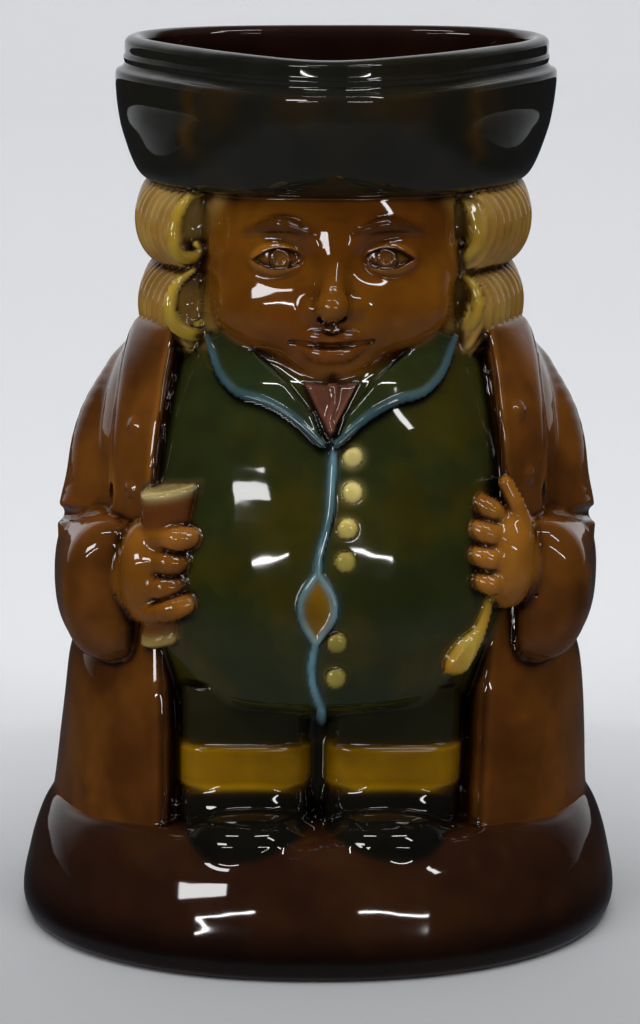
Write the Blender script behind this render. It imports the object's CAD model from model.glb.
# %% [markdown]
# # A glazed toby jug
# The object is a hollow earthenware jug in the shape of a stout squire: a three-cornered hat is
# its open mouth, a mound is its foot, and a strap handle springs from its back. A cast jug like
# this has no loose parts. Relief, cloth, hands and buttons are all one skin of clay under one run
# of coloured glazes. So the figure is worked out here as one surface, cast in four closed bands,
# and the handle, which the potter pulls and sticks on, is a mesh of its own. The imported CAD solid
# gives the frame and the size.

import bpy
import numpy as np
from mathutils import Matrix, Quaternion, Vector


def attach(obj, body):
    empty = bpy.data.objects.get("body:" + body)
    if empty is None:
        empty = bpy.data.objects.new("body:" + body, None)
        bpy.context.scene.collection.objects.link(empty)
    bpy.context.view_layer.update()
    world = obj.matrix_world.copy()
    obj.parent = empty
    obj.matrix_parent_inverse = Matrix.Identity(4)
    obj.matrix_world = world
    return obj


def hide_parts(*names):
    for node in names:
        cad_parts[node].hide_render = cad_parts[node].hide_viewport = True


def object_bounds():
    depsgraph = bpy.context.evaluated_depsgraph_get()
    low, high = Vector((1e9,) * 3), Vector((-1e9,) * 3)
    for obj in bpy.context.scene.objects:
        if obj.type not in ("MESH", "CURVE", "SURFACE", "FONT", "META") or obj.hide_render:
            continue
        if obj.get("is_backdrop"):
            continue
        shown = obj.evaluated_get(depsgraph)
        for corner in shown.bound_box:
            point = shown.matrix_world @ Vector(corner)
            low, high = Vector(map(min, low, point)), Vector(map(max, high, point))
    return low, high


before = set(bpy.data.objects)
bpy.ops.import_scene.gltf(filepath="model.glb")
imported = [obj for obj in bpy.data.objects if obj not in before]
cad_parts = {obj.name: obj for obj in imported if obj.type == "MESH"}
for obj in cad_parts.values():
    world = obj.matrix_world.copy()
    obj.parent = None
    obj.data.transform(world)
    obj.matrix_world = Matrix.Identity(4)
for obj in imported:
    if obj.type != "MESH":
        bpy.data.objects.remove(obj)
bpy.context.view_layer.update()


def put(name, data):
    """An object with its origin at the frame's own, in the scene."""
    made = bpy.data.objects.new(name, data)
    bpy.context.scene.collection.objects.link(made)
    return made


# %% [markdown]
# ## The camera
# The photograph looks slightly down on the jug from about two thirds of a metre, with a long lens,
# so its sides hardly converge. The lens and place were fitted to the outline of the jug. A camera
# looks along its own -Z, so turning it by 90 degrees less the pitch points it at the jug.

# %% Camera
PITCH = 11.85  # degrees below level
camera_data = bpy.data.cameras.new("photograph")
camera_data.sensor_width = 36
camera_data.sensor_fit = "AUTO"
camera_data.lens = 135.58
camera = put("photograph", camera_data)
camera.location = (0.0004, -0.660, 0.208)
camera.rotation_euler = (np.radians(90 - PITCH), 0, 0)
bpy.context.scene.camera = camera
print("camera", round(camera_data.lens, 1), "mm lens")

# %% [markdown]
# ## How the skin is worked out
# The modeller's clay is described by distance formulas: for any point in space each form, such as
# a finger or a cuff, says how far away its surface is, and is negative inside. Distances are easy
# to join: the smaller of two is their union, and a blended smaller one leaves a soft fillet, as
# slip and glaze do where two forms meet. A grid of rays then runs in towards the figure's middle,
# one for each pair of turn and row, and each ray stops where the distance is nought. The
# alternative, sculpting by hand or joining dozens of meshes with booleans, gives either no
# control or hard seams. Lengths below are millimetres, with z measured up from the mound's top,
# x towards the figure's left and y towards its back.

# %% Joining distances
def blend_min(a, b, soft):
    """The smaller of a and b, less h(1-h) times soft where they are within soft of each other."""
    h = np.clip(0.5 + 0.5 * (b - a) / soft, 0, 1)
    return b + (a - b) * h - soft * h * (1 - h)


def blend_max(a, b, soft):
    """The larger of a and b, rounded in the same way: what two forms share."""
    return -blend_min(-a, -b, soft)


def fade(value, start, end):
    """0 before start, 1 after end, and 3t squared less 2t cubed between."""
    t = np.clip((value - start) / (end - start), 0, 1)
    return t * t * (3 - 2 * t)


# %% Smooth tables
def smooth(rows, samples=900):
    """Columns of a table as curves of its first column: cubics whose slope at each row is the
    harmonic mean of the slopes on its two sides, and nought where those differ in sign."""
    table = np.array(rows, float)
    x, y = table[:, 0], table[:, 1:]
    step = np.diff(x)[:, None]
    slope = np.diff(y, axis=0) / step
    product = slope[:-1] * slope[1:]
    total = slope[:-1] + slope[1:]
    inner = np.where(product > 0, 2 * product / np.where(total == 0, 1, total), 0)
    ends = np.vstack([slope[:1], inner, slope[-1:]])
    dense = np.linspace(x[0], x[-1], samples)
    i = np.clip(np.searchsorted(x, dense, side="right") - 1, 0, len(x) - 2)
    t = ((dense - x[i]) / step[i, 0])[:, None]
    curve = (
        (1 + 2 * t) * (1 - t) ** 2 * y[i]
        + t * (1 - t) ** 2 * step[i] * ends[i]
        + t**2 * (3 - 2 * t) * y[i + 1]
        + t**2 * (t - 1) * step[i] * ends[i + 1]
    )
    return lambda z: [np.interp(z, dense, curve[:, k]) for k in range(curve.shape[1])]


def thread(points, per=4):
    """A smooth path through the points: Catmull-Rom cubics, each cut into per pieces. Columns
    past the third, such as a radius, are carried along in the same way."""
    p = np.array(points, float)
    q = np.vstack([2 * p[0] - p[1], p, 2 * p[-1] - p[-2]])
    t = np.linspace(0, 1, per, endpoint=False)[None, :, None]
    a, b, c, d = (q[k : len(p) - 1 + k][:, None, :] for k in range(4))
    body = 0.5 * (2 * b + (c - a) * t + (2 * a - 5 * b + 4 * c - d) * t**2)
    body = body + 0.5 * (3 * b - a - 3 * c + d) * t**3
    return np.vstack([body.reshape(-1, p.shape[1]), p[-1:]])


# %% [markdown]
# ## Forms that a figure is built of
# Four formulas do nearly everything: an egg, an oval column whose size follows a table, a round
# limb whose radius changes along a path, and a flat outline seen from the front. They are not
# exact distances, but they are close near the surface, and the rays take short steps.

# %% Form formulas
def egg(x, y, z, centre, radii, power=2.0):
    """An ellipsoid, or with a power over 2 a blockier one: q is the size of the copy through the
    point, and the distance is (q - 1) times the length of the point over q's slope."""
    u = [np.abs(v - c) / r for v, c, r in zip((x, y, z), centre, radii)]
    q = (u[0] ** power + u[1] ** power + u[2] ** power + 1e-9) ** (1 / power)
    slope = np.sqrt(
        sum((v ** (power - 1) * q ** (1 - power) / r) ** 2 for v, r in zip(u, radii)) + 1e-9
    )
    return (q - 1) / slope


OVAL = 2.2  # the power of the ovals: 2 is an ellipse, and more is squarer


def oval_gap(x, y, half_width, front, back, power=OVAL):
    """The part of a point's reach that lies outside an oval section: q is how many times too
    small the oval is to reach the point."""
    depth = np.where(y < 0, front, back)
    q = ((np.abs(x) / half_width) ** power + (np.abs(y) / depth) ** power) ** (1 / power)
    return np.hypot(x, y) * (1 - 1 / np.maximum(q, 0.05))


def column(x, y, z, table, grow=0.0):
    """An upright oval column, whose section at each height the table gives."""
    half_width, front, back = table(z)
    return oval_gap(x, y, half_width + grow, front + grow, back + grow)


FAR = 1e3


def limb(x, y, z, path):
    """The nearest of the round cones between neighbouring [x, y, z, radius] points."""
    nearest = np.full(x.shape, FAR)
    for a, b in zip(path[:-1], path[1:]):
        run = b[:3] - a[:3]
        px, py, pz = x - a[0], y - a[1], z - a[2]
        t = np.clip((px * run[0] + py * run[1] + pz * run[2]) / (run @ run + 1e-9), 0, 1)
        gap = np.sqrt(
            (px - t * run[0]) ** 2 + (py - t * run[1]) ** 2 + (pz - t * run[2]) ** 2
        ) - (a[3] + t * (b[3] - a[3]))
        nearest = np.minimum(nearest, gap)
    return nearest


def limb_along(path):
    """The limb of a path as a form."""
    return lambda x, y, z: limb(x, y, z, path)


def outline_gap(x, z, outline):
    """Distance to a closed front-view outline, negative inside it: the nearest edge, with the
    sign from how often a level line through the point crosses the outline."""
    corners = np.array(outline, float)
    nearest = np.full(x.shape, 1e9)
    inside = np.zeros(x.shape, bool)
    for a, b in zip(corners, np.roll(corners, -1, axis=0)):
        run = b - a
        t = np.clip(((x - a[0]) * run[0] + (z - a[1]) * run[1]) / (run @ run), 0, 1)
        gap = (x - a[0] - t * run[0]) ** 2 + (z - a[1] - t * run[1]) ** 2
        nearest = np.minimum(nearest, gap)
        if a[1] != b[1]:
            crosses = ((a[1] > z) != (b[1] > z)) & (
                x < a[0] + (z - a[1]) * run[0] / (b[1] - a[1])
            )
            inside ^= crosses
    return np.sqrt(nearest) * np.where(inside, -1, 1)


# %% [markdown]
# ## The list of forms
# Every form is kept with the glaze it is painted in, how softly it joins what came before it, and
# a box round it. A point well outside the box takes the distance to the box and half a millimetre
# instead, which is quick, and close enough that far off.

# %% The list of forms
FORMS = []


def form(glaze, soft, low, high, distance, carve=False):
    """Adds a form. A carved one is taken away instead of added."""
    low, high = np.array(low, float), np.array(high, float)
    FORMS.append(dict(glaze=glaze, soft=soft, low=low, high=high, distance=distance, carve=carve))


def both(glaze, soft, low, high, distance, carve=False):
    """Adds a form and its mirror image across the middle."""
    form(glaze, soft, low, high, distance, carve)
    form(glaze, soft, (-high[0], low[1], low[2]), (-low[0], high[1], high[2]),
         lambda x, y, z: distance(-x, y, z), carve)


def box_gap(x, y, z, low, high):
    """Distance to a box: the length of how far the point is out along each axis."""
    out = [np.maximum(np.maximum(a - v, v - b), 0) for v, a, b in zip((x, y, z), low, high)]
    return np.sqrt(out[0] ** 2 + out[1] ** 2 + out[2] ** 2)


def one_form(item, x, y, z, margin=1.5):
    """A form's distance, worked out only near its box."""
    away = box_gap(x, y, z, item["low"], item["high"])
    gap = away + margin * 0.5
    near = away < margin
    if near.any():
        gap[near] = item["distance"](x[near], y[near], z[near])
    return gap


def figure(x, y, z):
    """The whole figure: forms added or carved one after another, each with its own softness."""
    whole = np.full(x.shape, FAR)
    for item in FORMS:
        away = box_gap(x, y, z, item["low"], item["high"])
        near = away < 3.0
        if item["carve"]:
            if near.any():
                cut = item["distance"](x[near], y[near], z[near])
                whole[near] = blend_max(whole[near], -cut, item["soft"])
            continue
        whole = np.where(near, whole, np.minimum(whole, away + 0.5))
        if near.any():
            gap = item["distance"](x[near], y[near], z[near])
            whole[near] = blend_min(whole[near], gap, item["soft"])
    return whole


# %% [markdown]
# ## The mound
# The foot of the jug is a low mound of dark brown glaze, widest a little above the table and drawn
# in to a soft shoulder on top. It is a column whose section follows a table of insets.

# %% Mound
MOUND_HEIGHT = 22.5
MOUND_HALVES = (52.3, 50.5)
mound_inset = smooth([
    [-MOUND_HEIGHT, 1.7],
    [-21.4, 0.5],
    [-19.1, 0.0],
    [-12.4, 1.1],
    [-6.6, 2.8],
    [-2.6, 5.2],
    [-0.8, 7.4],
    [0.0, 9.6],
])


def mound_table(z):
    """The mound's half width, front and back at a height."""
    (inset,) = mound_inset(z)
    return MOUND_HALVES[0] - inset, MOUND_HALVES[1] - inset, MOUND_HALVES[1] - inset


def mound(x, y, z):
    """Oval column from the table to the mound's flat top."""
    return blend_max(column(x, y, z, mound_table), z, 1.2)


form("mound", 0.1, (-53, -51, -23), (53, 51, 0.5), mound)

# %% [markdown]
# ## The clothed body
# The belly is an egg in front of an upright column, and both are one skin of waistcoat cloth. The
# waistcoat stops in a rounded hem over the breeches.

# %% Body and belly
WAIST = 20.5
body_table = smooth([
    [-8, 40, 30, 34],
    [20.5, 40, 30, 36],
    [37.5, 38, 35, 37],
    [50, 37.5, 38.4, 36],
    [57, 37.0, 39.0, 35.3],
    [62, 36.4, 38.2, 34.7],
    [68, 35, 36.3, 33.5],
    [75, 31.5, 32.4, 31.5],
    [81.5, 28, 28, 28],
    [108, 27, 28, 28],
])
BELLY = ((0, -12, 39.5), (34, 31, 35))
BELLY_SOFT = 5.0


def cloth(x, y, z):
    """The waistcoat's skin: column and belly, the belly cut off softly at the hem."""
    stomach = blend_max(egg(x, y, z, *BELLY), WAIST - z, 2.4)
    return blend_min(column(x, y, z, body_table), stomach, BELLY_SOFT)


def front_of(x, z):
    """How far forward the cloth is at a place seen from the front: the larger of an oval's depth
    and an egg's, blended."""
    x, z = np.asarray(x, float), np.asarray(z, float)
    half_width, front, _ = body_table(z)
    chest = front * (1 - np.minimum(1, np.abs(x) / half_width) ** OVAL) ** (1 / OVAL)
    (_, ahead, middle_z), (wide, deep, high) = BELLY
    share = 1 - (x / wide) ** 2 - ((z - middle_z) / high) ** 2
    stomach = np.where((z > WAIST) & (share > 0), deep * np.sqrt(np.maximum(share, 0)) - ahead, 0)
    return -blend_max(chest, stomach, BELLY_SOFT)


def on_cloth(points, proud, radii):
    """Front-view [x, z] points laid on the cloth, as [x, y, z, radius] for a limb."""
    p = np.array(points, float)
    radii = np.broadcast_to(radii, len(p))
    return np.column_stack([p[:, 0], front_of(p[:, 0], p[:, 1]) - proud, p[:, 1], radii])


def waistcoat(x, y, z):
    """The cloth above its hem."""
    return blend_max(cloth(x, y, z), WAIST - 1.2 - z, 1.6)


def core(x, y, z):
    """The dark clay behind the legs, under the hem."""
    return blend_max(column(x, y, z, body_table, -0.8), z - WAIST, 1.0)


def nape(x, y, z):
    """The column of the neck under the curls, combed into upright strands that fade at its foot."""
    combed = 0.28 * np.cos(26 * np.arctan2(x, y)) * np.clip((z - 83) / 6, 0, 1)
    return blend_max(column(x, y, z, body_table) - combed, 79.5 - z, 1.5)


form("shadow", 0.1, (-41, -37, -3), (41, 37, 21), core)
form("waistcoat", 0.6, (-38, -52, 18), (38, 38, 84), waistcoat)
form("hair", 1.5, (-29, -29, 78), (29, 29, 106), nape)

# %% [markdown]
# ## The coat
# The coat is a second, larger column round the body, open at the front. Taking the opening away
# from it leaves two thick edges, softly rounded. A flat turned-back strap runs beside the opening
# above the cuffs, and a crease parts it from the sleeve.

# %% Coat
coat_table = smooth([
    [-3, 47.2, 39.8, 43],
    [0, 46.9, 39.5, 43],
    [9, 46.2, 39, 43],
    [21.5, 45, 38, 42.5],
    [33, 42, 36.5, 41.5],
    [50, 41, 35.5, 40],
    [60, 41, 35, 38.5],
    [68, 39.5, 34, 36],
    [74, 37.2, 31.5, 34],
    [79, 34.2, 29.5, 32.4],
    [83.5, 31.2, 27, 30.4],
])
coat_edge = smooth([[-3, 26.5], [20, 27], [56, 29], [74, 27.5], [84, 25.8]])


def coat(x, y, z):
    """Column less the opening, which is nearer the middle than the edge and in front. The
    opening narrows with depth, so its walls slant and glaze can lie on them."""
    (edge,) = coat_edge(z)
    turn = np.arctan2(x, -y)
    folds = 0.55 * np.cos(7 * turn + 0.05 * z) * fade(z, 34, 8) * fade(np.abs(turn), 0.7, 1.1)
    shell = column(x, y, z, coat_table) - folds
    slant = 0.42 - 0.17 * fade(z, 20, 50)
    opening = np.minimum(edge + slant * np.minimum(shell, 0) - np.abs(x), -14 - y)
    return blend_max(blend_max(shell, opening, 2.2), z - 83.5, 2.0)


def strap(x, y, z):
    """A band beside the opening, 1.7 mm proud of the coat, with a crisp inner edge."""
    (edge,) = coat_edge(z)
    face = column(x, y, z, coat_table, 1.7)
    across = np.maximum(edge + 0.3 + 0.3 * np.minimum(face, 0) - np.abs(x), np.abs(x) - edge - 8.3)
    flat = blend_max(face, across, 1.3)
    return blend_max(flat, np.maximum(50 - z, z - 83), 1.5)


VENT = thread([[0, 44.2, -2, 1.3], [0, 43.6, 12, 1.2], [0, 42.8, 24, 1.0], [0, 41.9, 32, 0.5]], 3)
form("coat", 0.6, (-49, -41, -2), (49, 45, 84), coat)
form("coat", 0.8, (-3, 38, -3), (3, 47, 34), limb_along(VENT), carve=True)
both("coat", 0.5, (24, -38, 50), (40, -8, 83), strap)

# %% [markdown]
# ## Sleeves and cuffs
# The sleeve is a limb down the side of the coat, and the deep cuff is a tube that points forwards
# and is rounded off at the wrist. A carved crease parts them at the elbow and runs up
# between the sleeve and the chest, where the glaze pools dark.

# %% Sleeves and cuffs
sleeve_path = thread([
    [31.6, 1.5, 69.6, 8.0],
    [34.6, -1.4, 62.5, 9.0],
    [36.0, -4.2, 55, 9.4],
    [37.0, -5.6, 47, 9.2],
    [37.6, -3.0, 38, 8.6],
])
# Along the cuff: y forwards as -y, its middle x and z, and its half width and half height.
cuff_table = smooth([
    [-11, 37.6, 39, 4, 6.5],
    [-8, 38, 38.6, 7.4, 10],
    [-1, 38.2, 38, 9, 12.6],
    [9, 37.4, 37.9, 9.4, 13.1],
    [20, 36.3, 38.4, 9.0, 12.6],
    [30, 35.2, 38.8, 8.6, 12.0],
])


def cuff(x, y, z):
    """An oval tube along y, rounded off at its front and where it meets the wrist. A shallow
    groove a little way in marks the cuff's stitched edge."""
    middle_x, middle_z, half_width, half_height = cuff_table(-y)
    tube = oval_gap(x - middle_x, z - middle_z, half_width, half_height, half_height, 2.3)
    groove = 0.3 * np.exp(-(((x - 34.6) / 0.8) ** 2)) * fade(-y, 10, 18)
    tube = blend_max(tube + groove, 31.6 - x - 0.08 * (y + 24), 2.6)
    tube = blend_max(tube, -y - 28.4, 5.0)
    return blend_max(tube, y - 10.5, 3)


def sleeve(x, y, z):
    """The limb with shallow slanting folds that gather at the bend of the elbow."""
    along = z - 0.6 * y
    folds = 0.42 * np.cos(along / 2.7) * fade(z, 64, 50)
    return limb(x, y, z, sleeve_path) - folds


BEND = thread([[48, 2, 46.8, 1.0], [45.2, -9, 48.6, 1.2], [40.8, -16.6, 50.6, 1.2],
               [36.6, -19.6, 53.4, 1.1], [34.4, -19.2, 60, 0.9], [33.6, -17.0, 67, 0.4]], 3)
both("coat", 1.0, (21, -16, 28), (48, 11, 79), sleeve)
both("coat", 0.7, (27, -31, 22), (48, 12, 52), cuff)
both("coat", 1.0, (31, -22, 44), (49, 4, 69), limb_along(BEND), carve=True)

# %% [markdown]
# ## Breeches, stocking bands and shoes
# Each leg is a short blocky column in three glazes: dark breeches, an ochre band that stands a
# little proud, and the black of the ankle and shoe. The shoes are two eggs, one over the other.

# %% Legs and shoes
# Middle and half width of each leg: the right one, on the viewer's left, is a little slimmer.
LEGS = {"left": (12.0, 11.85), "right": (-13.1, 11.5)}
LEG_DEPTH = -21.5


def leg_block(middle, low, high, half_width, depth, rounding, power=4.2):
    """A squarish column round one leg between two heights."""
    def distance(x, y, z):
        side = oval_gap(x - middle, y - LEG_DEPTH, half_width, depth, depth, power)
        return blend_max(side, np.maximum(z - high, low - z), rounding)
    return distance


def shoe(middle):
    """A blocky instep over a round toe, with a step between."""
    inwards = -np.sign(middle)

    def distance(x, y, z):
        instep = egg(x, y, z, (middle, -25.0, 1.6), (11.3, 12.4, 6.6), 2.8)
        toe = egg(x, y, z, (middle + 0.9 * inwards, -32.4, -1.8), (10.6, 12.4, 6.0), 2.4)
        return blend_min(instep, toe, 0.6)
    return distance


for side, (middle, half_width) in LEGS.items():
    low, high = (middle - 13, -37), (middle + 13, -6)
    form("breeches", 0.5, (*low, 12), (*high, 24),
         leg_block(middle, 12, 24, half_width - 0.3, 12.8, 0.6))
    form("shoe", 0.4, (*low, -3), (*high, 8),
         leg_block(middle, -4, 8, half_width - 0.3, 13.0, 0.6))
    form("band", 0.3, (*low, 6), (*high, 15),
         leg_block(middle, 6.5, 14.1, half_width, 13.6, 1.1))
    form("shoe", 1.8, (middle - 13.5, -48, -9), (middle + 13.5, -12, 9), shoe(middle))

# %% [markdown]
# ## The fists
# Each fist is an egg for the back of the hand and four fingers that curl over what it holds. A
# finger is a limb that is thick at its joints and thin between them.

# %% Fists
def finger(knuckle_x, knuckle_z, tip_x, tip_z, size=1.0):
    """A limb over the cloth from knuckle to tip, thick at the two joints and thin between."""
    share = np.array([-0.3, 0, 0.3, 0.55, 0.8, 1.0])
    x = knuckle_x + share * (tip_x - knuckle_x)
    z = knuckle_z + share * (tip_z - knuckle_z)
    proud = np.array([2.4, 3.5, 3.4, 3.0, 1.9, 0.7])
    radius = size * np.array([1.9, 2.15, 1.85, 2.05, 1.85, 1.6])
    return thread(on_cloth(np.column_stack([x, z]), proud, radius), 2)


def fist(side, back_z, back_height, fingers, thumb=None):
    """Back of the hand, fingers and thumb as one flesh, with dark creases between the fingers."""
    paths = [finger(*f) for f in fingers] + ([thread(thumb, 3)] if thumb else [])

    def distance(x, y, z):
        flesh = limb(x, y, z, paths[0])
        for path in paths[1:]:
            flesh = blend_min(flesh, limb(x, y, z, path), 0.35)
        back = egg(x, y, z, (side * 30.4, -27.6, back_z), (4.6, 6.6, back_height), 2.3)
        wrist = egg(x, y, z, (side * 33.4, -22.0, back_z - 1.5), (5.0, 7.0, 7.2))
        return blend_min(flesh, blend_min(back, wrist, 2.0), 1.2)
    return distance


left_fist = fist(
    1, 45.4, 8.9,
    [[29.8, 52.2, 25.4, 55.2, 0.95], [29.8, 49.0, 24.9, 51.0], [29.8, 45.2, 25.0, 46.8],
     [29.6, 41.2, 25.6, 42.4, 0.95]],
    [[32.2, -29.0, 51.5, 2.0], [31.2, -30.4, 55.0, 1.6], [29.6, -30.6, 58.4, 1.2]],
)
right_fist = fist(
    -1, 43.2, 8.2,
    [[-28.4, 49.6, -22.5, 50.0, 1.05], [-29.0, 45.6, -24.4, 45.6, 1.1],
     [-29.4, 41.0, -25.0, 41.6, 1.1], [-29.4, 36.4, -23.0, 38.9, 1.0]],
)

# %% [markdown]
# ## What the hands hold
# The right fist holds a roll of paper with pale cut ends, and a small purse hangs below the left.
# The roll is a round bar whose ends are cut on the slant, and the purse is a limb that swells.

# %% Roll and purse
roll_path = on_cloth([[-27.0, 32.0], [-25.9, 57.4]], [-0.2, 0.4], [3.7, 5.3])
roll_run = roll_path[1, :3] - roll_path[0, :3]
roll_length = np.linalg.norm(roll_run)
roll_run = roll_run / roll_length


def roll_part(start, end, grow=0.0):
    """The bar between two slanting cuts, start and end in mm along it, with rounded rims."""
    def distance(x, y, z):
        px, py, pz = (v - c for v, c in zip((x, y, z), roll_path[0, :3]))
        along = px * roll_run[0] + py * roll_run[1] + pz * roll_run[2]
        out = np.sqrt(
            (px - along * roll_run[0]) ** 2
            + (py - along * roll_run[1]) ** 2
            + (pz - along * roll_run[2]) ** 2
        )
        radius = 3.7 + 1.6 * along / roll_length
        slanted = along - 0.24 * px
        return blend_max(out - radius - grow, np.maximum(slanted - end, start - slanted), 1.3)
    return distance


purse_path = thread(on_cloth([[27.4, 39], [26.6, 36.0], [25.4, 33.2], [23.4, 30.8], [21.8, 29.0]],
                             [0.2, 0.2, 0.3, 0.1, 0.0], [0.9, 1.1, 1.5, 2.6, 2.8]), 3)


def purse(x, y, z):
    """The swelling limb, gathered into pleats that fan out from its neck."""
    turn = np.arctan2(x - 27.0, z - 37.5)
    pleats = 0.32 * np.abs(np.sin(11 * turn)) * fade(-z, -32.5, -30)
    return limb(x, y, z, purse_path) + pleats


form("roll", 0.4, (-34, -45, 28), (-19, -20, 61), roll_part(-0.6, 25.6))
form("cream", 0.2, (-34, -45, 53), (-19, -20, 62), roll_part(24.3, 25.7, 0.25))
form("cream", 0.2, (-34, -45, 28), (-19, -20, 37), roll_part(-1.2, 1.2, 0.25))
form("purse", 0.4, (17, -46, 24), (31, -24, 42), purse)
form("hand", 0.5, (18, -46, 35), (40, -19, 64), left_fist)
form("hand", 0.5, (-40, -48, 30), (-17, -19, 60), right_fist)

# %% [markdown]
# ## The head
# This jug's face is a plain, calm one of my own, set out by the drawing-book rules: the eyes are
# halfway up the head, the face is five eyes wide, the nose ends halfway from brow to chin and the
# mouth lies a third of the way below it. Forms are added and carved in the order a modeller
# works: skull, jaw and cheeks, then sockets, eyeballs and lids, then nose and lips.

# %% Head proportions
CROWN, CHIN = 118, 73.5
EYE_LINE = (CROWN + CHIN) / 2
EYE_WIDTH = 44 / 5
BROW_LINE = EYE_LINE + 0.09 * (CROWN - CHIN)
NOSE_BASE = (BROW_LINE + CHIN) / 2
MOUTH_LINE = NOSE_BASE - (NOSE_BASE - CHIN) / 3
print("eye, brow, nose, mouth lines:", EYE_LINE, BROW_LINE, NOSE_BASE, round(MOUTH_LINE, 2))


def skull(x, y, z):
    """Skull, jaw, cheeks, mouth and chin as one soft mass."""
    gap = egg(x, y, z, (0, -5, EYE_LINE - 1), (24, 27.2, 23), 2.3)
    gap = blend_min(gap, egg(x, y, z, (0, -14, 85.5), (18.8, 19.2, 12.4)), 5)
    cheek = egg(np.abs(x), y, z, (11.4, -23.4, NOSE_BASE + 0.9), (7.4, 6.2, 6.6))
    gap = blend_min(gap, cheek, 3.5)
    gap = blend_min(gap, egg(x, y, z, (0, -25.4, MOUTH_LINE - 0.3), (8.6, 7.2, 5.6)), 3)
    return blend_min(gap, egg(x, y, z, (0, -27.4, CHIN + 4.4), (6.8, 4.6, 4.2)), 3)


form("skin", 1.2, (-26, -35, 70), (26, 12, 107), skull)

# %% Sockets, eyes and lids
def eye_place(x):
    """How far across the eye a point is: -1 at the inner corner and 1 at the outer."""
    return (np.abs(x) - EYE_WIDTH) / (0.5 * EYE_WIDTH)


def socket(x, y, z):
    """A shallow egg, carved out round each eye."""
    return egg(np.abs(x), y, z, (EYE_WIDTH, -33.6, EYE_LINE + 0.4), (5.4, 4.2, 3.5))


def eyeball(x, y, z, grow=0.0):
    """An egg for each eye, the same on both sides."""
    return egg(
        np.abs(x), y, z, (EYE_WIDTH, -27.0, EYE_LINE), (4.7 + grow, 3.9 + grow, 3.7 + grow)
    )


def iris(x, y, z):
    """A low disc on the eyeball, a hair prouder than it, with a dimple for the pupil."""
    out = np.hypot(np.abs(x) - EYE_WIDTH, z - EYE_LINE - 0.15)
    disc = blend_max(eyeball(x, y, z, 0.3), out - 1.75, 0.25)
    return disc + 0.45 * fade(out, 0.95, 0.55)


def lids(x, y, z):
    """A shell over the eyeball less a lens-shaped opening between two arcs."""
    arc = np.maximum(1 - eye_place(x) ** 2, 0)
    upper, lower = EYE_LINE + 2.0 * arc + 0.1, EYE_LINE - 1.35 * arc - 0.1
    opening = np.maximum(z - upper, lower - z)
    return blend_max(eyeball(x, y, z, 0.75), -opening, 0.35)


def brow(x, y, z):
    """A low smooth ridge."""
    path = thread([[3.6, -31.0, BROW_LINE + 0.5, 0.7], [8.8, -30.9, BROW_LINE + 2.0, 1.2],
                   [14.2, -27.4, BROW_LINE + 0.4, 0.6]], 4)
    return limb(np.abs(x), y, z, path)


form("skin", 2.2, (-15, -38, 91), (15, -29, 101), socket, carve=True)
form("eye", 0.3, (-14, -31.5, 91), (14, -22, 100), eyeball)
form("iris", 0.15, (-11, -32, 93), (11, -27, 98), iris)
form("skin", 0.5, (-15, -32, 90), (15, -22, 101), lids)
form("brow", 0.8, (-16, -33, 98), (16, -25, 104), brow)

# %% Nose and mouth
nose_path = thread([
    [0, -30.2, BROW_LINE + 0.3, 1.9],
    [0, -31.4, 96.4, 1.75],
    [0, -33.0, 92.2, 1.9],
    [0, -34.6, NOSE_BASE + 2.2, 2.5],
], 4)


def nose(x, y, z):
    """Bridge, ball and wings."""
    gap = limb(x, y, z, nose_path)
    gap = blend_min(gap, egg(x, y, z, (0, -35.2, NOSE_BASE + 2.0), (2.5, 2.3, 2.1)), 1.0)
    wing = egg(np.abs(x), y, z, (3.0, -32.2, NOSE_BASE + 1.4), (1.8, 2.1, 1.6))
    return blend_min(gap, wing, 0.9)


def nostril(x, y, z):
    """A small egg, carved out under each wing."""
    return egg(np.abs(x), y, z, (1.6, -33.6, NOSE_BASE - 0.1), (0.6, 0.9, 0.5))


def over_mouth(corner, quarter, middle):
    """A path over the mouth, the same on both sides, from three places [x, y, height over the
    mouth's line, radius]: its corner, halfway, and the middle."""
    half = [[x, y, MOUTH_LINE + z, r] for x, y, z, r in (corner, quarter)]
    x, y, z, r = middle
    return thread([*([-row[0], *row[1:]] for row in half), [x, y, MOUTH_LINE + z, r], *half[::-1]], 3)


upper_lip = over_mouth([6.4, -31.0, 0.2, 0.55], [3.0, -33.0, 1.15, 1.15], [0, -33.4, 0.8, 1.1])
lower_lip = over_mouth([5.6, -31.2, -0.45, 0.55], [2.6, -32.8, -1.6, 1.35], [0, -33.1, -1.8, 1.5])
mouth_line = over_mouth([6.8, -31.8, 0.1, 0.4], [3.2, -34.0, -0.1, 0.55], [0, -34.3, -0.2, 0.55])
philtrum = thread([[0, -34.0, NOSE_BASE - 1.0, 0.7], [0, -34.2, MOUTH_LINE + 2.4, 0.7]], 1)


def lips(x, y, z):
    """Both lips, hardly blended, so that the line between them stays."""
    return blend_min(limb(x, y, z, upper_lip), limb(x, y, z, lower_lip), 0.25)


form("skin", 1.5, (-6, -38, 84), (6, -27, 103), nose)
form("skin", 0.5, (-3, -36, 85), (3, -31, 88), nostril, carve=True)
form("lips", 0.5, (-8, -35, 78), (8, -29, 86), lips)
form("skin", 0.35, (-8, -36, 80), (8, -30, 84), limb_along(mouth_line), carve=True)
form("skin", 0.8, (-2, -36, 83), (2, -32, 87), limb_along(philtrum), carve=True)

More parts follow.
